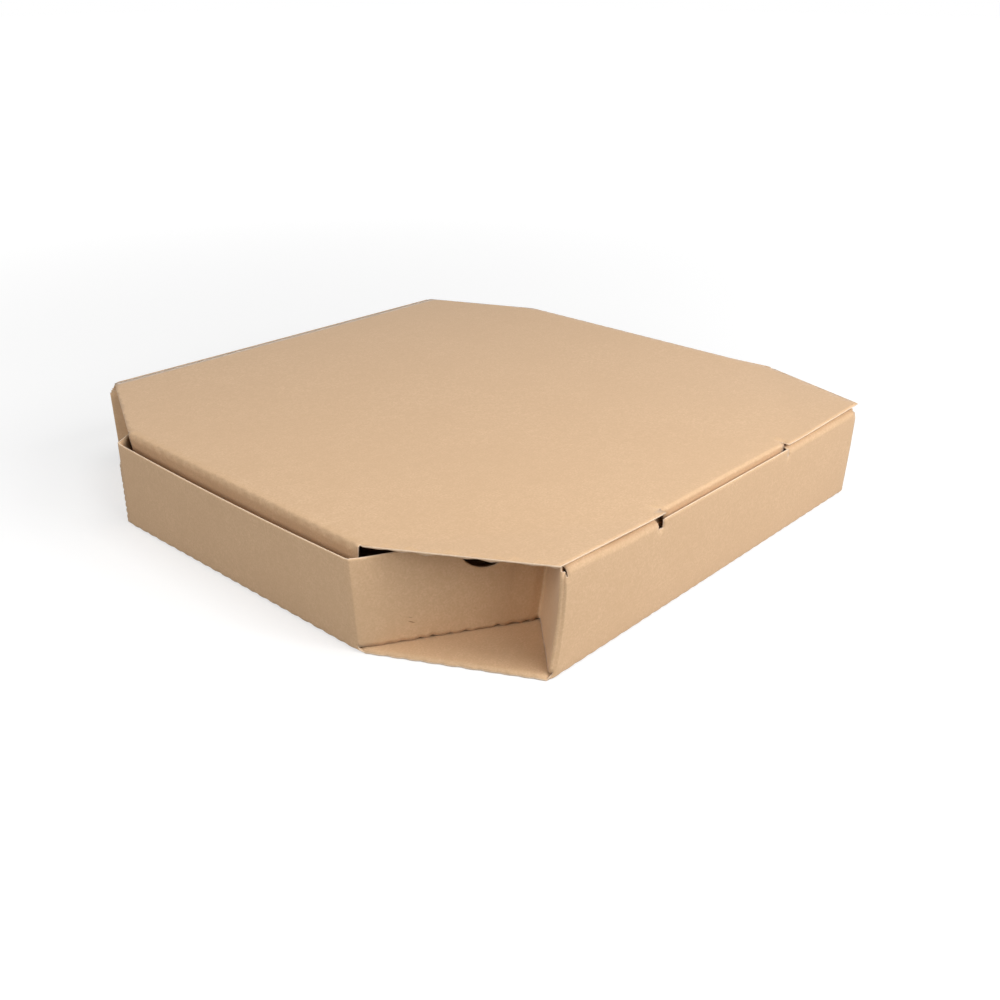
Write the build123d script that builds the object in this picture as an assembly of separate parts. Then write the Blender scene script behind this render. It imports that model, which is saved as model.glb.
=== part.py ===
from build123d import *
from math import atan2, degrees, hypot, radians, tan
import os

# Folding box for a 28 cm pizza, die-cut and folded from one sheet of thin corrugated board.
# The origin is the middle of the base on the table, Z is up, and the lid opens at the front, -Y.
# The sheet is one piece. It is drawn as two bodies, the tray and the lid, that meet at the hinge crease.

# Board and its ordinary folds
board = 1.5
fold_inner = 0.7

# Overall height to the top of the closed lid
box_height = 42.0

# Base: a rectangle with its four corners cut off, given as half sizes
base_half_x = 137.0
base_half_y = 137.5
side_crease_half = 76.0
end_crease_half = 105.0

# How far the walls lean out, at the height of the rim
side_flare_front = 2.4
side_flare_back = 0.6
front_flare = 1.1
back_flare = 1.3

# How far the raw top edges of the side walls and webs lie below the lid
side_wall_drop = 2.7

# Corner webs: from the side wall in to an inner fold, and back out to the front or back wall
web_outset = 2.2
web_fold_x = 80.0
web_fold_y = 109.8
web_slack = 1.2
web_spread = 0.8
web_lift = 1.0
thumb_notch_radius = 10.0
thumb_notch_share = 0.69

# Cuts that free the ends of the front roll and of the hinge crease from the webs
relief_gap = 0.5
relief_height = 3.5
relief_inset = 3.1

# Front wall: it rolls over a soft bend and comes down again inside
roll_inner = 1.5
roll_flat = 0.05
roll_clearance = 0.6
roll_half = 101.0
inner_panel_half = 98.4
inner_panel_gap = 0.3
lock_tab_half = 14.0
lock_tab_offset = 60.0
lock_tab_recess = 0.2
lock_slot_clearance = 0.35

# Slot along the top of the front wall
slot_half = 47.0
slot_lip_half = 44.2
slot_lip_drop = 0.3
slot_notch_depth = 3.4

# Lid panel
lid_front_overhang = 1.1
lid_front_half = 103.0
lid_crease_half = 103.0
lid_side_front_x = 137.0
lid_side_back_x = 133.4
lid_chamfer_front_y = -77.4
lid_chamfer_back_y = 76.4
lid_corner_lift = 1.6
lid_corner_fold_x = 52.0
hinge_gap = 0.3

# Side flaps of the lid, which go down inside the side walls
flap_depth = 28.0
flap_lean_angle = 4.0
flap_setback = 1.4
flap_end_taper = 5.0
flap_corner_radius = 6.0

# Tuck tab of the lid, which goes down into the front slot
tab_half = 43.0
tab_depth = 20.0
tab_gap = 1.1
tab_relief = 1.0
tab_end_taper = 4.0
tab_corner_radius = 8.0

# Sizes that follow from the ones above
fold_outer = fold_inner + board
fold_middle = fold_inner + board / 2
lid_under = box_height - board
rim_height = lid_under - hinge_gap
side_wall_height = lid_under - side_wall_drop
front_rim_y = -(base_half_y + front_flare)
back_rim_y = base_half_y + back_flare
lid_front_y = -(base_half_y + lid_front_overhang)
hinge_y = back_rim_y - board / 2
hinge_z = box_height - board / 2
roll_top = lid_under - roll_clearance
roll_middle = roll_inner + board / 2
roll_start = roll_top - roll_inner - board
relief_floor = roll_top - relief_height
end_zone_y = base_half_y - relief_inset
slot_lip_height = roll_top - slot_lip_drop
slot_notch_floor = slot_lip_height - slot_notch_depth
tab_outer_y = front_rim_y + board + tab_gap

# Longer than the box in every direction, for cutting right through it
through = 4 * (base_half_x + base_half_y)


def block(x_range, y_range, z_range):
    """Box between two limits along each axis."""
    size = [high - low for low, high in (x_range, y_range, z_range)]
    middle = [(low + high) / 2 for low, high in (x_range, y_range, z_range)]
    return Pos(*middle) * Box(*size)


def plate(outline, low, high):
    """Flat piece with the given plan outline, between two heights."""
    return extrude(Pos(0, 0, low) * make_face(Polyline(*outline, close=True)), amount=high - low)


def folded_strip(points, radius):
    """Cross-section of the board along a line that is bent to a radius at each of its corners."""
    return trace(FilletPolyline(*points, radius=radius), line_width=board)


def mirrored_in_x(outline):
    """The given half outline on +X, closed by its mirror image on -X."""
    return list(outline) + [(-x, y) for x, y in reversed(outline)]


# The walls and webs are one ring that stands on the base

def ring_corners(share):
    """Corners of the ring's outer face in plan at a share of the rim's height, front to back on +X."""
    corners = []
    for end, side_flare, end_flare in ((-1, side_flare_front, front_flare), (1, side_flare_back, back_flare)):
        wall_end = (base_half_x + share * side_flare, end * (side_crease_half + share * web_spread))
        web_fold = (web_fold_x - share * web_slack, end * (web_fold_y + share * web_spread))
        outer_end = (end_crease_half + web_outset, end * (base_half_y + share * end_flare))
        quarter = [wall_end, web_fold, outer_end]
        corners += quarter if end > 0 else quarter[::-1]
    return corners


def ring_slab(inset):
    """Solid inside the ring's outer face, or inside that face moved inward by inset."""
    radii = 4 * [fold_outer, fold_inner, fold_outer]
    sections = []
    for share in (0, 1):
        outline = FilletPolyline(*mirrored_in_x(ring_corners(share)), radius=radii, close=True)
        section = make_face(outline)
        if inset > 0:
            section = offset(section, -inset)
        sections.append(Pos(0, 0, share * rim_height) * section)
    return loft(sections, ruled=True)


def thumb_notches():
    """Half-moon cuts in the top edges of the four long web panels."""
    cuts = Part()
    share = side_wall_height / rim_height
    corners = ring_corners(share)
    for wall_end, web_fold in ((corners[2], corners[1]), (corners[3], corners[4])):
        run = (web_fold[0] - wall_end[0], web_fold[1] - wall_end[1])
        x = wall_end[0] + thumb_notch_share * run[0]
        y = wall_end[1] + thumb_notch_share * run[1]
        turn = degrees(atan2(run[1], run[0]))
        cutter = Rot(0, 0, turn) * Rot(90, 0, 0) * Cylinder(thumb_notch_radius, 8 * board)
        cutter = Pos(x, y, side_wall_height) * cutter
        cuts += cutter + mirror(cutter, Plane.YZ)
    return cuts


def wall_ring():
    """Side walls, webs and back wall with their raw edges, and the front wall's outer panel."""
    ring = ring_slab(0) - ring_slab(board)
    every_x = (-through, through)
    middle_y = (-end_zone_y, end_zone_y)
    front_y = (-through, -end_zone_y)
    ring -= block(every_x, middle_y, (side_wall_height, through))
    ring -= thumb_notches()
    for end in (-1, 1):
        web_y = sorted((end * side_crease_half, end * end_zone_y))
        ring -= block(every_x, web_y, (0, board + web_lift))
        end_y = sorted((end * end_zone_y, end * through))
        free_half = (roll_half if end < 0 else lid_crease_half) + relief_gap
        for side in (-1, 1):
            outer_x = sorted((side * free_half, side * through))
            ring -= block(outer_x, end_y, (relief_floor, through))
    ring -= block(every_x, front_y, (slot_lip_height, through))
    for side in (-1, 1):
        notch_x = sorted((side * slot_lip_half, side * slot_half))
        ring -= block(notch_x, front_y, (slot_notch_floor, through))
        roll_x = sorted((side * slot_half, side * through))
        ring -= block(roll_x, front_y, (roll_start, through))
    return ring


def front_roll():
    """The front wall's roll and inner panel, with the slot cut out of the roll."""
    lean = atan2(front_flare, rim_height)
    turn_reach = roll_middle * tan((radians(90) + lean) / 2)
    slant = hypot(front_flare, rim_height)
    inward = board / 2 * slant / rim_height

    def middle_y(z):
        return -base_half_y - front_flare * z / rim_height + inward

    crest = roll_top - board / 2
    inner_y = middle_y(crest) + turn_reach + roll_flat + roll_middle
    overlap_start = roll_start - 3 * board
    path = [(middle_y(overlap_start), overlap_start), (middle_y(crest), crest)]
    path += [(inner_y, crest), (inner_y, board + inner_panel_gap)]
    roll = extrude(Plane.YZ * folded_strip(path, roll_middle), amount=roll_half, both=True)
    shoulder_y = inner_y - roll_middle
    plan = [(roll_half, -through), (roll_half, shoulder_y - roll_middle), (inner_panel_half, shoulder_y)]
    plan += [(inner_panel_half, 0)]
    roll &= plate(mirrored_in_x(plan), 0, through)
    roll -= block((-slot_half, slot_half), (-through, 0), (roll_start, through))
    return roll, inner_y


def tray():
    """The base with its walls, webs, front roll and locked inner panel, as one folded piece."""
    roll, inner_y = front_roll()
    quarter = [(end_crease_half, -base_half_y), (base_half_x, -side_crease_half)]
    quarter += [(base_half_x, side_crease_half), (end_crease_half, base_half_y)]
    base = plate(mirrored_in_x(quarter), 0, board)
    body = base + wall_ring() + roll
    for envelope in crease_envelopes():
        body &= envelope
    tab_y = (inner_y - board / 2, inner_y + board / 2)
    slot_y = (tab_y[0] - lock_slot_clearance, tab_y[1] + lock_slot_clearance)
    for side in (-1, 1):
        middle = side * lock_tab_offset
        slot_reach = lock_tab_half + lock_slot_clearance
        body -= block((middle - slot_reach, middle + slot_reach), slot_y, (0, board))
        tab_x = (middle - lock_tab_half, middle + lock_tab_half)
        body += block(tab_x, tab_y, (lock_tab_recess, board + inner_panel_gap + board))
    return body


def crease_envelopes():
    """Two prisms that hold everything inside the rounded creases along the edges of the base."""
    side_flare = max(side_flare_front, side_flare_back)
    envelopes = []
    for plane, half, low_flare, high_flare in (
        (Plane.XZ, base_half_x, side_flare, side_flare),
        (Plane.YZ, base_half_y, front_flare, back_flare),
    ):
        top = 2 * rim_height
        corners = [(-half, 0), (half, 0), (half + 2 * high_flare, top), (-half - 2 * low_flare, top)]
        profile = make_face(Polyline(*corners, close=True))
        creases = profile.vertices().sort_by(Axis.Y)[:2]
        envelopes.append(extrude(plane * fillet(creases, fold_outer), amount=through / 2, both=True))
    return envelopes


# The lid is the far part of the same sheet

def side_flap():
    """The +X side flap of the lid with its fold, and the two ends of its crease line."""
    front = Vector(lid_side_front_x, lid_chamfer_front_y)
    back = Vector(lid_side_back_x, lid_chamfer_back_y)
    along = (front - back).normalized()
    outward = Vector(-along.Y, along.X)
    length = (front - back).length
    frame = Plane(origin=back, x_dir=outward, z_dir=along)
    middle_z = box_height - board / 2
    foot_z = box_height - flap_depth
    foot_u = -board / 2 - (middle_z - foot_z) * tan(radians(flap_lean_angle))
    path = [(-2 * fold_outer, middle_z), (-board / 2, middle_z), (foot_u, foot_z)]
    flap = extrude(frame * folded_strip(path, fold_middle), amount=length)
    side = Plane(origin=back, x_dir=along, z_dir=outward)
    top_v = box_height + board
    ends = [(flap_setback, top_v), (flap_setback, lid_under), (flap_setback + flap_end_taper, foot_z)]
    ends += [(length - flap_setback - flap_end_taper, foot_z), (length - flap_setback, lid_under)]
    ends += [(length - flap_setback, top_v)]
    shape = make_face(Polyline(*[(v, -z) for v, z in ends], close=True))
    shape = fillet(shape.vertices().sort_by(Axis.Y)[-2:], flap_corner_radius)
    flap &= extrude(side * shape, amount=through / 2, both=True)
    crest_front = front - outward * fold_outer
    crest_back = back - outward * fold_outer
    return flap, crest_front, crest_back


def tuck_tab():
    """The tab at the front of the lid, with its fold."""
    middle_y = tab_outer_y + board / 2
    middle_z = box_height - board / 2
    foot_z = box_height - tab_depth
    path = [(middle_y + 2 * fold_outer, middle_z), (middle_y, middle_z), (middle_y, foot_z)]
    tab = extrude(Plane.YZ * folded_strip(path, fold_middle), amount=tab_half, both=True)
    corners = [(tab_half, box_height + board), (tab_half, lid_under - board)]
    corners += [(tab_half - tab_end_taper, foot_z)]
    shape = make_face(Polyline(*mirrored_in_x(corners), close=True))
    shape = fillet(shape.vertices().sort_by(Axis.Y)[:2], tab_corner_radius)
    return tab & extrude(Plane.XZ * shape, amount=through / 2, both=True)


def lifted_corner(fold_start, tip, fold_end):
    """Front corner of the lid, which springs up a little beside the tab."""
    points = [(*fold_start, lid_under), (*tip, lid_under + lid_corner_lift), (*fold_end, lid_under)]
    return extrude(make_face(Polyline(*points, close=True)), amount=board, dir=(0, 0, 1))


def lid():
    """The lid panel with its side flaps, tuck tab and the rolled edge at the hinge crease."""
    flap, crest_front, crest_back = side_flap()
    recess_half = tab_half + tab_relief
    recess_y = tab_outer_y + fold_outer
    fold_start = (lid_corner_fold_x, lid_front_y)
    fold_end = (crest_front.X, crest_front.Y)
    half = [(recess_half, recess_y), (recess_half, lid_front_y), fold_start, fold_end]
    half += [(crest_back.X, crest_back.Y), (lid_crease_half, hinge_y)]
    body = plate(mirrored_in_x(half), lid_under, box_height)
    corner = lifted_corner(fold_start, (lid_front_half, lid_front_y), fold_end)
    for piece in (flap, corner):
        body += piece + mirror(piece, Plane.YZ)
    body += tuck_tab()
    crease = Rot(0, 90, 0) * Cylinder(board / 2, 2 * lid_crease_half)
    return body + Pos(0, hinge_y, hinge_z) * crease


def main():
    os.makedirs("parts", exist_ok=True)
    for name, piece in (("tray", tray()), ("lid", lid())):
        export_step(piece, "parts/" + name + ".step")


main()
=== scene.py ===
import math

import bmesh
import bpy
from mathutils import Matrix, Vector, noise


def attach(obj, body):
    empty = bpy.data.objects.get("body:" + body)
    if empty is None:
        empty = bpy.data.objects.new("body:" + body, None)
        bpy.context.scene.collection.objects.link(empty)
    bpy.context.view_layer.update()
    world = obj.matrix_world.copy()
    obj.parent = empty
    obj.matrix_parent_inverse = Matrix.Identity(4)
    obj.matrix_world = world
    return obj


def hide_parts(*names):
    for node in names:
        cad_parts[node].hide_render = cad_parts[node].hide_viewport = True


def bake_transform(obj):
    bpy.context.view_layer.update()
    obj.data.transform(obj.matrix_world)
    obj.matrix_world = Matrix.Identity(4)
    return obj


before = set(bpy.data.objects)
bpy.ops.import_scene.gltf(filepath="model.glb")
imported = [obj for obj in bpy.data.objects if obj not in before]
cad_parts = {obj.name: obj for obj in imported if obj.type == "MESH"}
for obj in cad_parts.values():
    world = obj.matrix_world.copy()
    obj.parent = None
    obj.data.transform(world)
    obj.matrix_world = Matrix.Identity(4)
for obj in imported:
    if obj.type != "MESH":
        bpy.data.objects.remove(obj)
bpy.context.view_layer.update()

# Tray: the greater part of one die-cut sheet of brown E-flute board. Its base carries a side wall on
# each side, a back wall and a front wall, and four folded webs join the walls across the cut-off
# corners. The front wall rolls over and comes down again inside, where two tabs lock it to the base.

# Sizes are in millimetres. Of a pair, -1 is the front's or the left's, and 1 the back's or the right's.
mm = 0.001
hair = 0.01
weld = 0.02
on_plane = 1e-4
# The board and its folds.
board = 1.5
base_crease = 1.2
end_fold = 1.6
wall_fold = 1.3
fold_inner = 0.3
end_fold_steps = 8
web_fold_steps = 4
wall_fold_steps = 6
# The walls' height, the base's outline, and how far the walls flare.
rim_height = 40.2
base_half_x = 137.0
base_half_y = 137.5
side_crease_half = 76.0
end_crease_half = 105.0
side_flare = {-1: 2.38, 1: -0.4}
end_flare = {-1: 1.1, 1: 1.3}
# The corner webs, with their torn feet and half-moon notches.
web_outset = 2.2
web_fold_x = 80.0
web_fold_y = 109.8
web_slack = {-1: 2.7, 1: 1.2}
web_spread = {-1: 2.3, 1: 0.8}
side_spread = {-1: -0.3, 1: 0.2}
web_floor = 2.5
web_foot = 1.7
web_tear = 1.1
tear_stretch = 1.3
tear_offset = 7.7
short_web_first_share = 0.12
web_first_share = 0.04
web_last_share = 0.97
notch_depth = 12.6
notch_share = 0.342
notch_half_share = 0.1506
notch_clear_share = 0.155
# Heights on the walls, and where the lines of their grid start and end.
side_rows_half = 74.0
low_row = 4.0
middle_rows_start = 6.0
side_wall_top = 37.8
end_web_top = {-1: 39.8, 1: 38.2}
notch_floor = 36.3
# The slot for the lid's tab, the front roll, and the slots in the base for the lock tabs.
slot_half = 47.0
slot_lip_half = 44.2
slot_lip_top = 39.6
roll_start = 36.9
roll_half = 102.2
roll_gap_end = 103.1
lock_tab_middle = 60.0
lock_slot_half = 14.35
lock_slot_start = lock_tab_middle - lock_slot_half
lock_slot_end = lock_tab_middle + lock_slot_half
lock_slot_back = 132.1
lock_slot_front = 134.3
crease_start = 38.2
# Wear: dented creases, and side walls that bow outwards and sag.
crease_dent = 0.55
front_dent = 0.25
side_dent_offset = 300.0
side_bow = 0.5
side_sag = 1.0


def steps(start, end, count):
    """Evenly spaced values from start up to, but without, end."""
    return [start + (end - start) * i / count for i in range(count)]


def sheet(bm, columns, rows, place):
    """A flat grid of board with a line at each of the given values, folded into place by a function."""
    grid = bmesh.ops.create_grid(bm, x_segments=len(columns) - 1, y_segments=len(rows) - 1, size=1)
    at = {}
    for i, v in enumerate(grid["verts"]):
        at[v] = (columns[i % len(columns)], rows[i // len(columns)])
        v.co = place(*at[v])
    return at


def cut_out(bm, at, is_gone):
    """Cuts away each cell of a sheet whose middle, in the sheet's own column and row, is gone."""
    faces = set(f for v in at for f in v.link_faces)
    gone = []
    for f in faces:
        middle = [sum(at[v][k] for v in f.verts) / len(f.verts) for k in (0, 1)]
        if is_gone(*middle):
            gone.append(f)
    bmesh.ops.delete(bm, geom=gone, context="FACES")


def round_bend(before, corner, after, radius, count):
    """Points round the bend between two straight runs that meet at a corner."""
    to_before = (before - corner).normalized()
    to_after = (after - corner).normalized()
    half = to_before.angle(to_after) / 2
    reach = radius / math.tan(half)
    centre = corner + (to_before + to_after).normalized() * radius / math.sin(half)
    first = corner + to_before * reach - centre
    last = corner + to_after * reach - centre
    return [centre + first.slerp(last, i / count) for i in range(count + 1)]


def wall_corners(end, share):
    """Where the wall folds in plan on +X at the front, -1, or back, 1, at a share of the rim's height."""
    outer_end = (end_crease_half + web_outset, end * (base_half_y + share * end_flare[end]))
    web_fold = (web_fold_x - share * web_slack[end], end * (web_fold_y + share * web_spread[end]))
    wall_end = (base_half_x + share * side_flare[end], end * (side_crease_half + share * side_spread[end]))
    return [Vector((x, y, 0)) for x, y in (outer_end, web_fold, wall_end)]


wall_columns = steps(0, slot_lip_half, 28) + [slot_lip_half, lock_slot_start]
wall_columns += steps(slot_half, lock_slot_end, 17) + steps(lock_slot_end, roll_half, 18)
wall_columns += [roll_half, roll_gap_end]
short_web_shares = steps(short_web_first_share, 1, 6)
long_web_shares = steps(web_first_share, notch_share - notch_clear_share, 5)
long_web_shares += [notch_share - notch_half_share * math.cos(math.pi * i / 12) for i in range(13)]
long_web_shares += steps(notch_share + notch_clear_share, web_last_share, 14)
side_rows = [side_rows_half * i / 45 for i in range(45, -1, -1)]


def bowed(y):
    """How far along its bulge a side wall is: 1 at its middle and 0 at its ends."""
    return max(1 - (y / side_crease_half) ** 2, 0)


def quarter_line(end, share):
    """The wall in plan from the middle of the front or back wall, round the web, to the side's middle."""
    outer_end, web_fold, wall_end = wall_corners(end, share)
    far_end = wall_corners(-end, share)[2]
    folds = [round_bend(Vector((0, outer_end.y, 0)), outer_end, web_fold, end_fold, end_fold_steps)]
    folds.append(round_bend(outer_end, web_fold, wall_end, fold_inner, web_fold_steps))
    folds.append(round_bend(web_fold, wall_end, far_end, wall_fold, wall_fold_steps))
    line = [Vector((x, outer_end.y, 0)) for x in wall_columns] + folds[0]
    line += [folds[0][-1].lerp(folds[1][0], s) for s in short_web_shares] + folds[1]
    line += [web_fold.lerp(wall_end, s) for s in long_web_shares] + folds[2]
    reach = far_end.y - wall_end.y
    side = [wall_end.lerp(far_end, (end * y - wall_end.y) / reach) for y in side_rows]
    return line + [p + Vector((side_bow * share * bowed(p.y), 0, 0)) for p in side]


# The dents serve creases, torn feet and nibbled edges, shifted or stretched so that they differ.
bump_pitch = 6.4
bump_wander = 2.4
wander_length = 23.0
wander_seed = (3.1, 0.7)
strength_length = 9.0
strength_seed = (8.3, 2.2)


def crimp(distance):
    """How far a crease is pressed in along its length: shallow dents at an uneven pitch."""
    wander = bump_wander * noise.noise(Vector((distance / wander_length, *wander_seed)))
    wave = 0.5 + 0.5 * math.sin(2 * math.pi * distance / bump_pitch + wander)
    strength = 0.75 + 0.5 * noise.noise(Vector((distance / strength_length, *strength_seed)))
    return wave ** 2 * strength


def smooth(value, start, end):
    """0 before start, 1 after end, and a smooth rise between them."""
    t = min(max((value - start) / (end - start), 0), 1)
    return t * t * (3 - 2 * t)


last_wall_column = len(wall_columns) - 1
end_fold_last = last_wall_column + end_fold_steps + 1
long_web_start = end_fold_last + len(short_web_shares) + web_fold_steps + 2
wall_fold_start = long_web_start + len(long_web_shares)
first_side_column = wall_fold_start + wall_fold_steps + 1
column_count = first_side_column + len(side_rows)

crease_rows = steps(0, math.pi / 2, 5)
wall_rows = [base_crease, web_floor, low_row] + steps(middle_rows_start, notch_floor, 10)
wall_rows += [notch_floor, roll_start, side_wall_top, crease_start, slot_lip_top]
chamfer_slope = (base_half_x - end_crease_half) / (base_half_y - side_crease_half)


def wall_quarter(bm, end):
    """A quarter of the ring of walls and webs, from the table up, with its cut-outs."""
    rows = [("crease", a) for a in crease_rows] + [("wall", z) for z in wall_rows]
    lines = {}

    def row_height(row):
        kind, value = rows[row]
        return value if kind == "wall" else base_crease * (1 - math.cos(value))

    def web_height(column, row, z):
        """The height on a web, whose top falls from the end fold to the side wall, past the notch."""
        share = (column - end_fold_last) / (first_side_column - end_fold_last)
        top = end_web_top[end] + (side_wall_top - end_web_top[end]) * smooth(share, 0, 1)
        if long_web_start <= column < wall_fold_start:
            run = (long_web_shares[column - long_web_start] - notch_share) / notch_half_share
            if abs(run) < 1:
                top -= notch_depth * math.sqrt(1 - run * run)
        foot = web_foot + web_tear * crimp(lines[row][column].x * tear_stretch + tear_offset)
        return foot + (z - web_floor) * (top - foot) / (side_wall_top - web_floor)

    def place(column, row):
        kind, value = rows[row]
        z = row_height(row)
        inset = 0 if kind == "wall" else base_crease * (1 - math.sin(value))
        if row not in lines:
            lines[row] = quarter_line(end, z / rim_height)
        point = lines[row][column].copy()
        on_end_wall = column <= last_wall_column + 1
        if z < web_floor:
            along = point.x if on_end_wall else point.y + side_dent_offset
            dent = front_dent if on_end_wall else crease_dent
            press = dent * crimp(along) * math.sin(2 * value) if kind == "crease" else 0
            inset += press * math.sin(value)
            z += press * math.cos(value)
            if on_end_wall:
                point.y -= end * inset
                if column > last_wall_column:
                    point.x = end_crease_half + inset * chamfer_slope
            else:
                point.x -= inset
                if column < first_side_column:
                    point.y = end * (side_crease_half + inset / chamfer_slope)
        elif last_wall_column < column < first_side_column and z <= side_wall_top:
            z = web_height(column, row, z)
        elif column >= first_side_column:
            z -= side_sag * (z / rim_height) ** 2 * bowed(point.y)
        point.z = z
        return point

    def is_gone(column, row):
        """Whether a cell lies under a web, over a wall or web, or in the tab's slot."""
        z = (row_height(int(row)) + row_height(int(row) + 1)) / 2
        if column < last_wall_column:
            x = (wall_columns[int(column)] + wall_columns[int(column) + 1]) / 2
        else:
            x = roll_half + 1
        if last_wall_column + 1 < column < first_side_column - 1 and z < web_floor:
            return True
        if column > end_fold_last:
            return z > side_wall_top
        if x > roll_half:
            return z > notch_floor
        if end > 0:
            return z > crease_start
        if x > slot_half:
            return z > roll_start
        return z > (slot_lip_top if x < slot_lip_half else notch_floor)

    at = sheet(bm, range(column_count), range(len(rows)), place)
    cut_out(bm, at, is_gone)


cut_nibble = 0.6
nibble_stretch = 2.1
nibble_depth = 3.0


def base_quarter(bm, end):
    """A quarter of the base, cut off at the corner, with the slot that takes a lock tab."""
    corner_x = end_crease_half + base_crease * chamfer_slope
    corner_y = side_crease_half + base_crease / chamfer_slope
    edge_x = base_half_x - base_crease
    edge_y = base_half_y - base_crease
    columns = wall_columns + steps(corner_x, edge_x, 20) + [edge_x]
    rows = side_rows[::-1] + steps(corner_y, lock_slot_back, 36) + [lock_slot_back, lock_slot_front, edge_y]

    def is_slot(x, y):
        return end < 0 and lock_slot_start < x < lock_slot_end and lock_slot_back < y < lock_slot_front

    at = sheet(bm, columns, rows, lambda x, y: Vector((x, end * y, 0)))
    cut_out(bm, at, is_slot)
    kept = [v for v in at if v.is_valid]
    geom = list(set(kept + [e for v in kept for e in list(v.link_edges) + list(v.link_faces)]))
    out = Vector((1, end * chamfer_slope, 0))
    corner = Vector((corner_x, end * edge_y, 0))
    bmesh.ops.bisect_plane(bm, geom=geom, dist=on_plane, plane_co=corner, plane_no=out, clear_outer=True)
    out.normalize()
    for v in bm.verts:
        depth = (corner - v.co).dot(out)
        near_end = min(v.co.x - corner_x, end * v.co.y - corner_y)
        if v.co.z < hair and depth < nibble_depth and near_end > 0:
            nibble = cut_nibble * crimp(v.co.x * nibble_stretch) * smooth(near_end, 0, nibble_depth)
            v.co -= out * nibble * (1 - smooth(depth, 0, nibble_depth))


roll_radius = 3.0
roll_flat = 0.05
inner_panel_half = 98.4
inner_panel_foot = 1.8
panel_taper_start = 90.0
lock_tab_half = 14.0
lock_tab_foot = 0.2


def front_roll(bm):
    """The soft roll on top of the front wall and the panel that comes down inside it."""
    face_y = -(base_half_y + end_flare[-1] * roll_start / rim_height)
    centre_y = face_y + roll_radius
    panel_y = centre_y + roll_flat + roll_radius
    heights = steps(roll_start, inner_panel_foot, 16) + [inner_panel_foot, lock_tab_foot]
    rows = [("turn", a) for a in steps(0, math.pi, 12)] + [("down", z) for z in heights]
    columns = [x for x in wall_columns if x <= roll_half]

    def place(x, row):
        kind, value = rows[row]
        if kind == "turn":
            y = centre_y - roll_radius * math.cos(value) + (roll_flat if value > math.pi / 2 else 0)
            z = roll_start + roll_radius * math.sin(value)
        else:
            y = panel_y
            z = value
        if kind == "down" and x > panel_taper_start:
            share = (x - panel_taper_start) / (roll_half - panel_taper_start)
            x = panel_taper_start + share * (inner_panel_half - panel_taper_start)
        if z < inner_panel_foot:
            x = lock_tab_middle + (x - lock_tab_middle) * lock_tab_half / lock_slot_half
        return Vector((x, y, z))

    def is_gone(x, row):
        if rows[int(row)][0] == "turn":
            return x < slot_half
        return row > len(rows) - 2 and abs(x - lock_tab_middle) > lock_slot_half

    at = sheet(bm, columns, range(len(rows)), place)
    cut_out(bm, at, is_gone)


def add_other_half(bm):
    """Mirrors a half sheet across the middle of the box and joins it to its copy."""
    geom = bm.verts[:] + bm.edges[:] + bm.faces[:]
    bmesh.ops.mirror(bm, geom=geom, matrix=Matrix(), merge_dist=hair, axis="X")


def face_outwards(bm, way):
    """Turns a sheet so that its lowest face, for -1, looks down, or its highest, for 1, looks up."""
    bmesh.ops.recalc_face_normals(bm, faces=bm.faces)
    outermost = max(bm.faces, key=lambda f: way * f.calc_center_median().z)
    if way * outermost.normal.z < 0:
        bmesh.ops.reverse_faces(bm, faces=bm.faces)


crushed_share = 0.36
sharp_bend = math.radians(16)


def finished(bm, name, finish, edge_finish):
    """Gives a folded sheet the board's thickness, crushed at creases and cut edges, as an object."""
    bmesh.ops.remove_doubles(bm, verts=bm.verts, dist=weld)
    bmesh.ops.delete(bm, geom=[v for v in bm.verts if not v.link_faces], context="VERTS")
    full = bm.verts.layers.deform.verify()
    for v in bm.verts:
        sharpest = max(e.calc_face_angle(0) for e in v.link_edges)
        v[full][0] = 0 if v.is_boundary or sharpest > sharp_bend else 1
    bmesh.ops.scale(bm, vec=(mm, mm, mm), verts=bm.verts)
    for f in bm.faces:
        f.smooth = True
    mesh = bpy.data.meshes.new(name)
    bm.to_mesh(mesh)
    bm.free()
    piece = bpy.data.objects.new(name, mesh)
    bpy.context.scene.collection.objects.link(piece)
    mesh.materials.append(finish)
    mesh.materials.append(edge_finish)
    piece.vertex_groups.new(name="full_thickness")
    wall = piece.modifiers.new("board", "SOLIDIFY")
    wall.thickness = board * mm
    wall.offset = -1
    wall.use_even_offset = False
    wall.use_rim = True
    wall.material_offset_rim = 1
    wall.vertex_group = "full_thickness"
    wall.thickness_vertex_group = crushed_share
    return piece


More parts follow.
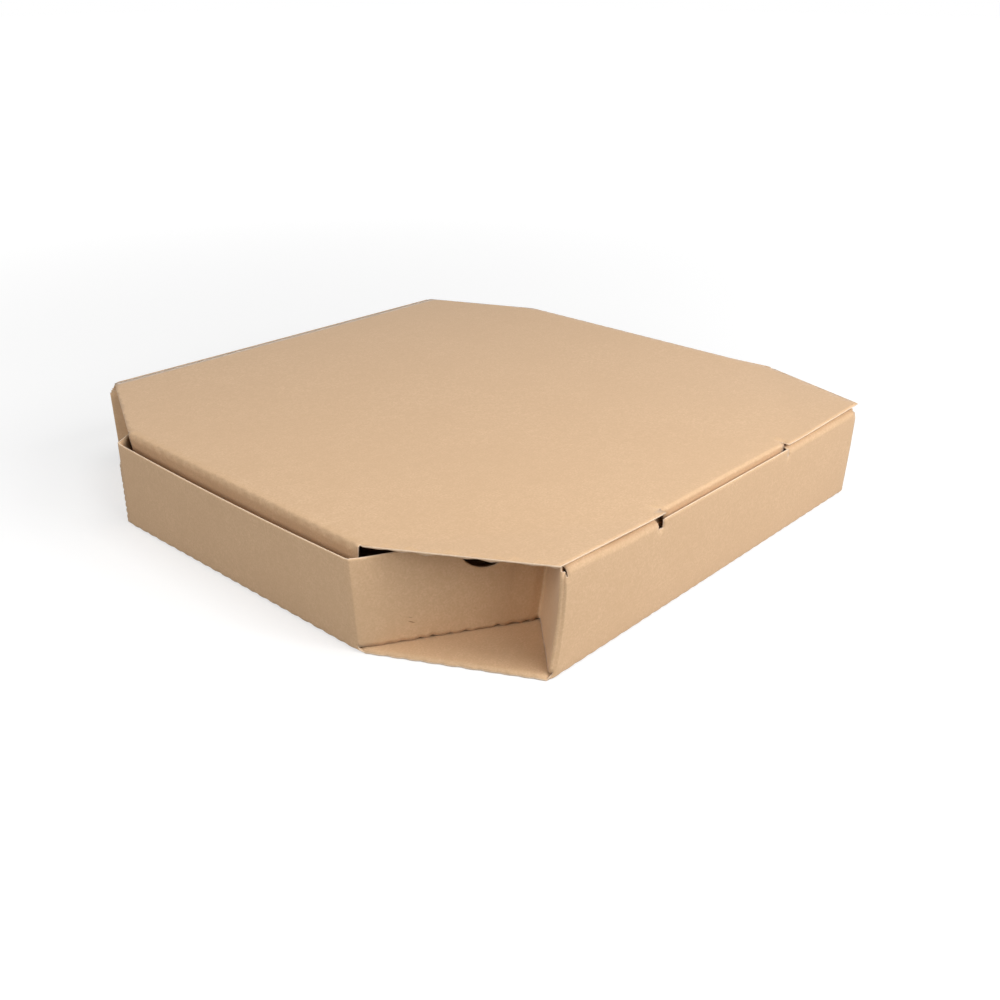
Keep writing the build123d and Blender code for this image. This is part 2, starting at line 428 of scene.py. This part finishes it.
def kraft(name, light, dark, fleck, scuffs=()):
    """Brown kraft paper: cloudy tone, fine fibres, sparse dark flecks and a slightly fuzzy surface."""
    made = bpy.data.materials.new(name)
    made.use_nodes = True
    nodes = made.node_tree.nodes
    links = made.node_tree.links
    shader = nodes["Principled BSDF"]
    shader.inputs["Roughness"].default_value = 0.72
    shader.inputs["Specular IOR Level"].default_value = 0.4
    shader.inputs["Sheen Weight"].default_value = 0.3
    shader.inputs["Sheen Roughness"].default_value = 0.35
    place = nodes.new("ShaderNodeTexCoord").outputs["Object"]

    def cloud(scale, detail, stretch=(1, 1, 1)):
        """Cloudy noise over the sheet, drawn out along an axis whose stretch is under 1."""
        mapping = nodes.new("ShaderNodeMapping")
        mapping.inputs["Scale"].default_value = stretch
        pattern = nodes.new("ShaderNodeTexNoise")
        pattern.inputs["Scale"].default_value = scale
        pattern.inputs["Detail"].default_value = detail
        links.new(place, mapping.inputs["Vector"])
        links.new(mapping.outputs["Vector"], pattern.inputs["Vector"])
        return pattern.outputs["Fac"]

    def mixed(factor, low, high, amount=1.0):
        """The colour between low and high. Inputs 6 and 7 and output 2 of a Mix node are its colours."""
        mix = nodes.new("ShaderNodeMix")
        mix.data_type = "RGBA"
        scaled = nodes.new("ShaderNodeMath")
        scaled.operation = "MULTIPLY"
        scaled.use_clamp = True
        scaled.inputs[1].default_value = amount
        links.new(factor, scaled.inputs[0])
        links.new(scaled.outputs[0], mix.inputs["Factor"])
        for socket, value in ((mix.inputs[6], low), (mix.inputs[7], high)):
            if isinstance(value, tuple):
                socket.default_value = (*value, 1)
            else:
                links.new(value, socket)
        return mix.outputs[2]

    def stepped(value, low, high):
        """A value spread smoothly from 0 at a low limit to 1 at a high one."""
        ramp = nodes.new("ShaderNodeMapRange")
        ramp.interpolation_type = "SMOOTHSTEP"
        ramp.inputs["From Min"].default_value = low
        ramp.inputs["From Max"].default_value = high
        links.new(value, ramp.inputs["Value"])
        return ramp.outputs["Result"]

    pulp = stepped(cloud(1300, 5), 0.32, 0.68)
    clumps = stepped(cloud(420, 4), 0.4, 0.7)
    patches = stepped(cloud(150, 3), 0.35, 0.65)
    wide_patches = stepped(cloud(30, 3), 0.35, 0.65)
    dark_fibres = stepped(cloud(1500, 3, (1, 0.1, 1)), 0.56, 0.75)
    pale_fibres = stepped(cloud(1500, 3, (0.1, 1, 1)), 0.58, 0.78)
    flecks = stepped(cloud(1900, 1), 0.735, 0.8)
    tone = mixed(pulp, light, dark)
    tone = mixed(clumps, tone, dark, 0.6)
    tone = mixed(patches, tone, dark, 0.3)
    tone = mixed(wide_patches, tone, dark, 0.3)
    tone = mixed(dark_fibres, tone, dark, 0.5)
    tone = mixed(pale_fibres, tone, light, 0.5)
    tone = mixed(flecks, tone, fleck, 0.6)
    for middle, length, height, turn in scuffs:
        around = nodes.new("ShaderNodeMapping")
        around.vector_type = "TEXTURE"
        around.inputs["Location"].default_value = middle
        around.inputs["Rotation"].default_value = turn
        around.inputs["Scale"].default_value = (length / 2, scuff_reach, height / 2)
        links.new(place, around.inputs["Vector"])
        reach = nodes.new("ShaderNodeVectorMath")
        reach.operation = "LENGTH"
        links.new(around.outputs["Vector"], reach.inputs[0])
        tone = mixed(stepped(reach.outputs["Value"], 1.0, 0.4), tone, scuff_brown, 0.85)
    links.new(tone, shader.inputs["Base Color"])
    bump = nodes.new("ShaderNodeBump")
    bump.inputs["Strength"].default_value = 0.12
    bump.inputs["Distance"].default_value = 0.0001
    links.new(cloud(1700, 4), bump.inputs["Height"])
    links.new(bump.outputs["Normal"], shader.inputs["Normal"])
    return made


# Two small scuffs on the outside of the front left web, in metres: middle, length, height and turn.
scuff_brown = (0.22, 0.10, 0.04)
scuff_reach = 0.004
web_scuffs = [
    ((-0.1204, -0.0859, 0.0093), 0.0034, 0.0005, (0, 0.4, -0.52)),
    ((-0.1208, -0.0857, 0.0113), 0.0022, 0.0003, (0, 0.25, -0.52)),
]
liner = kraft("brown_liner", (0.69, 0.468, 0.285), (0.60, 0.394, 0.226), (0.42, 0.24, 0.11), web_scuffs)
raw_edge = kraft("raw_edge", (0.86, 0.68, 0.50), (0.76, 0.57, 0.40), (0.60, 0.41, 0.27))


closed_notch = 1.6
lip_shift = 0.9
pinch_start = 40.0
pinch_end = 60.0


def pinched(x):
    """Where a place near the slot's right end has moved to, now that the end is pressed shut."""
    if x < slot_lip_half:
        return x + lip_shift * smooth(x, pinch_start, slot_lip_half)
    if x > slot_half:
        return x - closed_notch * (1 - smooth(x, slot_half, pinch_end))
    share = (x - slot_lip_half) / (slot_half - slot_lip_half)
    return slot_lip_half + lip_shift + share * (slot_half - closed_notch - slot_lip_half - lip_shift)


# How the front corners lean outwards and are pushed up.
top_lean = {-1: 3.9, 1: 1.6}
lean_speed = 1.3
lean_reach_x = (60.0, 100.0)
lean_reach_y = (76.0, 108.0)
corner_rise = {-1: 2.0, 1: 0.5}
rise_reach_y = (108.0, 134.0)

bm = bmesh.new()
for end in (-1, 1):
    wall_quarter(bm, end)
    base_quarter(bm, end)
front_roll(bm)
bmesh.ops.remove_doubles(bm, verts=bm.verts, dist=weld)
add_other_half(bm)
for v in bm.verts:
    if v.co.z > notch_floor - weld and pinch_start < v.co.x < pinch_end and v.co.y < 0:
        v.co.x = pinched(v.co.x)
    side = -1 if v.co.x < 0 else 1
    near = smooth(abs(v.co.x), *lean_reach_x) * smooth(-v.co.y, *lean_reach_y)
    height = v.co.z / rim_height
    v.co.x += top_lean[side] * math.sin(math.pi / 2 * min(lean_speed * height, 1)) * near
    v.co.z += corner_rise[side] * height * smooth(-v.co.y, *rise_reach_y) * near
face_outwards(bm, -1)
tray = finished(bm, "tray_board", liner, raw_edge)
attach(tray, "tray")
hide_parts("tray")

# Lid: the far part of the same sheet of brown board. The panel has cut-off corners like the base, a
# flap on each side that goes down inside the side wall, and a tuck tab at the front for the slot.

lid_top = 42.0
crest_fold = 1.0
tab_fold = 1.5
lid_front_y = -138.1
lid_front_half = 103.0
lid_side_x = {-1: 135.8, 1: 132.2}
lid_chamfer_y = {-1: -77.4, 1: 76.4}
lid_hinge_y = 138.05
lid_back_y = 136.05
crest_dent = 0.7
crest_dent_offset = 40.0
closed_gap = 0.85
flap_front_y = -76.0
flap_back_y = 75.0
flap_depth = 28.0
flap_lean = math.radians(4.0)
flap_taper = 5.0
flap_round = 6.0
tab_half = 43.0
tab_face_y = -136.0
tab_depth = 20.0
tab_taper = 4.0
tab_round = 8.0
tab_relief_half = 44.0
tab_relief_y = tab_face_y + tab_fold
lid_fold_steps = 6
middle_columns_end = 40.0
outer_columns_start = 48.0
front_rows_start = -129.0
back_rows_start = 81.0
corner_fold_x = 52.0
corner_lift = 1.6
widest_turn = 3.13


def crest_x(y):
    """Where the lid's top starts to bend down into the side flap, at a distance along the lid."""
    share = (y - lid_chamfer_y[-1]) / (lid_chamfer_y[1] - lid_chamfer_y[-1])
    return lid_side_x[-1] + share * (lid_side_x[1] - lid_side_x[-1]) - crest_fold


def shortened(depth, whole, taper, corner):
    """How much shorter a flap is at each end at a depth, from its taper and its rounded corners."""
    less = taper * depth / whole
    into = depth - (whole - corner)
    return less + (corner - math.sqrt(max(corner * corner - into * into, 0)) if into > 0 else 0)


def depths(start, whole, corner, count):
    """Depths down a flap, closer together round its corner."""
    straight = steps(start, whole - corner, count)
    return straight + [whole - corner + corner * math.sin(math.pi / 2 * i / 6) for i in range(7)]


# The corners of the lid in plan, and how far wear has moved each along X, Y and Z.
lid_drift = [
    (-137.0, -77.4, (1.2, 0.0, -0.2)),
    (-103.0, -138.6, (0.9, 0.0, 0.0)),
    (103.0, -138.6, (2.9, 0.0, -0.6)),
    (134.8, -77.4, (0.5, -2.6, -3.5)),
    (133.4, 76.4, (0.0, 0.0, -0.8)),
    (103.0, 138.0, (3.0, 0.0, -1.4)),
    (-103.0, 138.0, (2.0, 0.0, -0.8)),
    (-137.0, 76.4, (0.6, 0.0, -0.35)),
]


def drift(x, y):
    """How far the used lid has moved at a place, shared out evenly from corner to corner."""
    total = Vector((0, 0, 0))
    weights = 0
    spokes = [Vector((corner_x - x, corner_y - y)) for corner_x, corner_y, moved in lid_drift]
    turns = [min(a.angle(b, 0), widest_turn) for a, b in zip(spokes, spokes[1:] + spokes[:1])]
    for i, spoke in enumerate(spokes):
        weight = (math.tan(turns[i - 1] / 2) + math.tan(turns[i] / 2)) / max(spoke.length, hair)
        total += Vector(lid_drift[i][2]) * weight
        weights += weight
    return total / weights


flap_rows = steps(flap_front_y, flap_back_y, 92) + [flap_back_y]
crest_rows = [lid_chamfer_y[-1]] + flap_rows + [lid_chamfer_y[1]]
lid_columns = steps(0, middle_columns_end, 10) + [middle_columns_end, tab_half, tab_relief_half]
lid_columns += steps(outer_columns_start, lid_front_half, 14)


def lid_panel(bm):
    """The lid's flat panel with its four cut-off corners and the recess that frees the tab."""
    widest = crest_x(lid_chamfer_y[-1])
    columns = lid_columns + steps(lid_front_half, widest, 9) + [widest]
    rows = [lid_front_y, (lid_front_y + tab_relief_y) / 2, tab_relief_y]
    rows += steps(front_rows_start, lid_chamfer_y[-1], 13) + crest_rows
    rows += steps(back_rows_start, lid_back_y, 14) + [lid_back_y]

    def place(x, y):
        if x > lid_front_half and y > lid_chamfer_y[-1]:
            share = (x - lid_front_half) / (widest - lid_front_half)
            x = lid_front_half + share * (crest_x(min(y, lid_chamfer_y[1])) - lid_front_half)
        return Vector((x, y, lid_top))

    at = sheet(bm, columns, rows, place)
    cut_out(bm, at, lambda x, y: x < tab_relief_half and y < tab_relief_y)
    for end, edge_y in ((-1, lid_front_y), (1, lid_hinge_y)):
        start = Vector((crest_x(lid_chamfer_y[end]), lid_chamfer_y[end], lid_top))
        run = Vector((lid_front_half, edge_y, lid_top)) - start
        out = Vector((abs(run.y), end * abs(run.x), 0))
        geom = bm.verts[:] + bm.edges[:] + bm.faces[:]
        bmesh.ops.bisect_plane(bm, geom=geom, dist=on_plane, plane_co=start, plane_no=out, clear_outer=True)


def side_flap(bm):
    """The flap that folds down along the side crease, with rounded lower corners."""
    turn = math.pi / 2 + flap_lean
    columns = [("turn", a) for a in steps(0, turn, lid_fold_steps)]
    columns += [("down", d) for d in depths(crest_fold, flap_depth, flap_round, 8)]
    middle = (flap_front_y + flap_back_y) / 2
    half = (flap_back_y - flap_front_y) / 2

    def place(column, y):
        kind, value = columns[column]
        if kind == "turn":
            pressed = crest_fold - crest_dent * crimp(y + crest_dent_offset) * math.sqrt(math.sin(value))
            out = pressed * math.sin(value)
            down = crest_fold - pressed * math.cos(value)
        else:
            run = value - crest_fold
            out = crest_fold * math.cos(flap_lean) - run * math.sin(flap_lean)
            down = crest_fold * (1 + math.sin(flap_lean)) + run * math.cos(flap_lean)
            less = shortened(value, flap_depth, flap_taper, flap_round)
            y = middle + (y - middle) * (half - less) / half
        return Vector((crest_x(y) + out, y, lid_top - down))

    sheet(bm, range(len(columns)), flap_rows, place)


def tuck_tab(bm):
    """The tab that folds down at the front and goes into the slot."""
    columns = [x for x in lid_columns if x <= tab_half]
    rows = [("turn", a) for a in steps(0, math.pi / 2, lid_fold_steps)]
    rows += [("down", d) for d in depths(tab_fold, tab_depth, tab_round, 4)]

    def place(x, row):
        kind, value = rows[row]
        if kind == "turn":
            y = tab_face_y + tab_fold * (1 - math.sin(value))
            return Vector((x, y, lid_top - tab_fold * (1 - math.cos(value))))
        less = shortened(value, tab_depth, tab_taper, tab_round)
        return Vector((x * (tab_half - less) / tab_half, tab_face_y, lid_top - value))

    sheet(bm, columns, range(len(rows)), place)


bm = bmesh.new()
lid_panel(bm)
side_flap(bm)
tuck_tab(bm)
bmesh.ops.remove_doubles(bm, verts=bm.verts, dist=weld)
fold_start = Vector((corner_fold_x, lid_front_y, 0))
fold_end = Vector((crest_x(lid_chamfer_y[-1]), lid_chamfer_y[-1], 0))
tip = Vector((lid_front_half, lid_front_y, 0))
across = (fold_end - fold_start).cross(Vector((0, 0, 1))).normalized()
reach = (tip - fold_start).dot(across)
for v in bm.verts:
    share = (Vector((v.co.x, v.co.y, 0)) - fold_start).dot(across) / reach
    if share > 0 and v.co.z > lid_top - hair:
        v.co.z += corner_lift * share
add_other_half(bm)
for v in bm.verts:
    if (tab_half + tab_relief_half) / 2 < v.co.x < pinch_end and v.co.y < tab_relief_y + weld:
        v.co.x -= closed_gap * (1 - smooth(v.co.x, tab_relief_half, pinch_end))
    v.co += drift(v.co.x, v.co.y)
face_outwards(bm, 1)
lid = finished(bm, "lid_board", liner, raw_edge)
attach(lid, "lid")
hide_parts("lid")

# Hinge crease: the same sheet of board again, pressed along a line where the back wall turns into the
# lid. It is the box's only hinge.

crease_half = 101.5
hinge_fold = 2.2


def hinge_crease(bm):
    """The rounded crease between the back wall's top and the lid's back edge."""
    columns = steps(-crease_half, crease_half, 60) + [crease_half]
    centre_y = base_half_y + end_flare[1] - hinge_fold
    wall_y = base_half_y + end_flare[1] * crease_start / rim_height
    rows = [("wall", crease_start)]
    rows += [("turn", math.pi / 2 * i / 8) for i in range(9)]
    rows += [("top", lid_back_y)]

    def place(x, row):
        kind, value = rows[row]
        if kind == "wall":
            return Vector((x, wall_y, value))
        if kind == "top":
            return Vector((x, value, lid_top))
        y = centre_y + hinge_fold * math.cos(value)
        return Vector((x, y, lid_top - hinge_fold + hinge_fold * math.sin(value)))

    sheet(bm, columns, range(len(rows)), place)


bm = bmesh.new()
hinge_crease(bm)
for v in bm.verts:
    v.co += drift(v.co.x, v.co.y) * smooth(v.co.z, crease_start, lid_top)
face_outwards(bm, 1)
crease = finished(bm, "hinge_crease", liner, raw_edge)
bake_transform(crease)

# Floor and light of a plain studio, in metres: a white sweep, four soft boxes over the box, at the
# front and at the left, and an even white surround. The sweep glows white to the camera alone.

floor_half = 6
floor_drop = 0.0002
floor_mesh = bpy.data.meshes.new("floor")
bm = bmesh.new()
bmesh.ops.create_grid(bm, x_segments=1, y_segments=1, size=floor_half)
bm.to_mesh(floor_mesh)
bm.free()
floor = bpy.data.objects.new("floor", floor_mesh)
bpy.context.scene.collection.objects.link(floor)
paper = bpy.data.materials.new("white_sweep")
paper.use_nodes = True
nodes = paper.node_tree.nodes
links = paper.node_tree.links
matte = nodes["Principled BSDF"]
matte.inputs["Base Color"].default_value = (0.45, 0.45, 0.45, 1)
matte.inputs["Roughness"].default_value = 0.9
matte.inputs["Specular IOR Level"].default_value = 0.1
glow = nodes.new("ShaderNodeEmission")
seen = nodes.new("ShaderNodeLightPath")
away = nodes.new("ShaderNodeVectorMath")
away.operation = "LENGTH"
links.new(nodes.new("ShaderNodeTexCoord").outputs["Object"], away.inputs[0])
spread = nodes.new("ShaderNodeMapRange")
spread.inputs["From Min"].default_value = 0.25
spread.inputs["From Max"].default_value = 0.9
spread.inputs["To Min"].default_value = 0.6
spread.inputs["To Max"].default_value = 0.95
links.new(away.outputs["Value"], spread.inputs["Value"])
both = nodes.new("ShaderNodeMath")
both.operation = "MULTIPLY"
links.new(seen.outputs["Is Camera Ray"], both.inputs[0])
links.new(spread.outputs["Result"], both.inputs[1])
links.new(both.outputs[0], glow.inputs["Strength"])
joined = nodes.new("ShaderNodeAddShader")
links.new(matte.outputs[0], joined.inputs[0])
links.new(glow.outputs[0], joined.inputs[1])
links.new(joined.outputs[0], nodes["Material Output"].inputs["Surface"])
floor_mesh.materials.append(paper)
floor.location = (0, 0, -floor_drop)

world = bpy.data.worlds.new("studio")
bpy.context.scene.world = world
world.use_nodes = True
nodes = world.node_tree.nodes
links = world.node_tree.links
surround = nodes["Background"]
surround.inputs["Color"].default_value = (1, 1, 1, 1)
surround.inputs["Strength"].default_value = 0.1
white = nodes.new("ShaderNodeBackground")
white.inputs["Color"].default_value = (1, 1, 1, 1)
white.inputs["Strength"].default_value = 1.0
seen = nodes.new("ShaderNodeLightPath")
direct = nodes.new("ShaderNodeMath")
direct.operation = "MAXIMUM"
links.new(seen.outputs["Is Camera Ray"], direct.inputs[0])
links.new(seen.outputs["Is Glossy Ray"], direct.inputs[1])
chosen = nodes.new("ShaderNodeMixShader")
links.new(direct.outputs[0], chosen.inputs[0])
links.new(surround.outputs[0], chosen.inputs[1])
links.new(white.outputs[0], chosen.inputs[2])
links.new(chosen.outputs[0], nodes["World Output"].inputs["Surface"])

box_middle = Vector((0, -0.03, 0.02))
soft_box_size = 0.45


def soft_box(name, place, power):
    """A square soft box that faces the middle of the pizza box."""
    data = bpy.data.lights.new(name, "AREA")
    data.shape = "SQUARE"
    data.size = soft_box_size
    data.energy = power
    lamp = bpy.data.objects.new(name, data)
    bpy.context.scene.collection.objects.link(lamp)
    lamp.location = place
    lamp.rotation_euler = (box_middle - Vector(place)).to_track_quat("-Z", "Y").to_euler()


soft_box("overhead_box", (0, -0.2, 0.8), 2.4)
soft_box("front_box", (0.3, -0.75, 0.5), 4.9)
soft_box("near_box", (-0.1, -0.75, 0.5), 2.4)
soft_box("left_box", (-0.9, 0, 0.5), 3.8)

# Camera: it stands in front and to the left, about half a metre away, and looks down on the lid.

sensor_width = 36
focal_share = 1.12561
azimuth = math.radians(-47.508)
elevation = math.radians(25.16)
distance = 0.47482
target = Vector((-0.03486, -0.05002, 0.016))
level = Vector((math.sin(azimuth), -math.cos(azimuth), 0))
back = level * math.cos(elevation) + Vector((0, 0, math.sin(elevation)))
camera_data = bpy.data.cameras.new("camera")
camera_data.sensor_width = sensor_width
camera_data.lens = sensor_width * focal_share
camera_data.clip_start = 0.01
camera = bpy.data.objects.new("camera", camera_data)
bpy.context.scene.collection.objects.link(camera)
camera.location = target + back * distance
camera.rotation_euler = (-back).to_track_quat("-Z", "Y").to_euler()
bpy.context.scene.camera = camera
bpy.context.scene.view_settings.view_transform = "Standard"
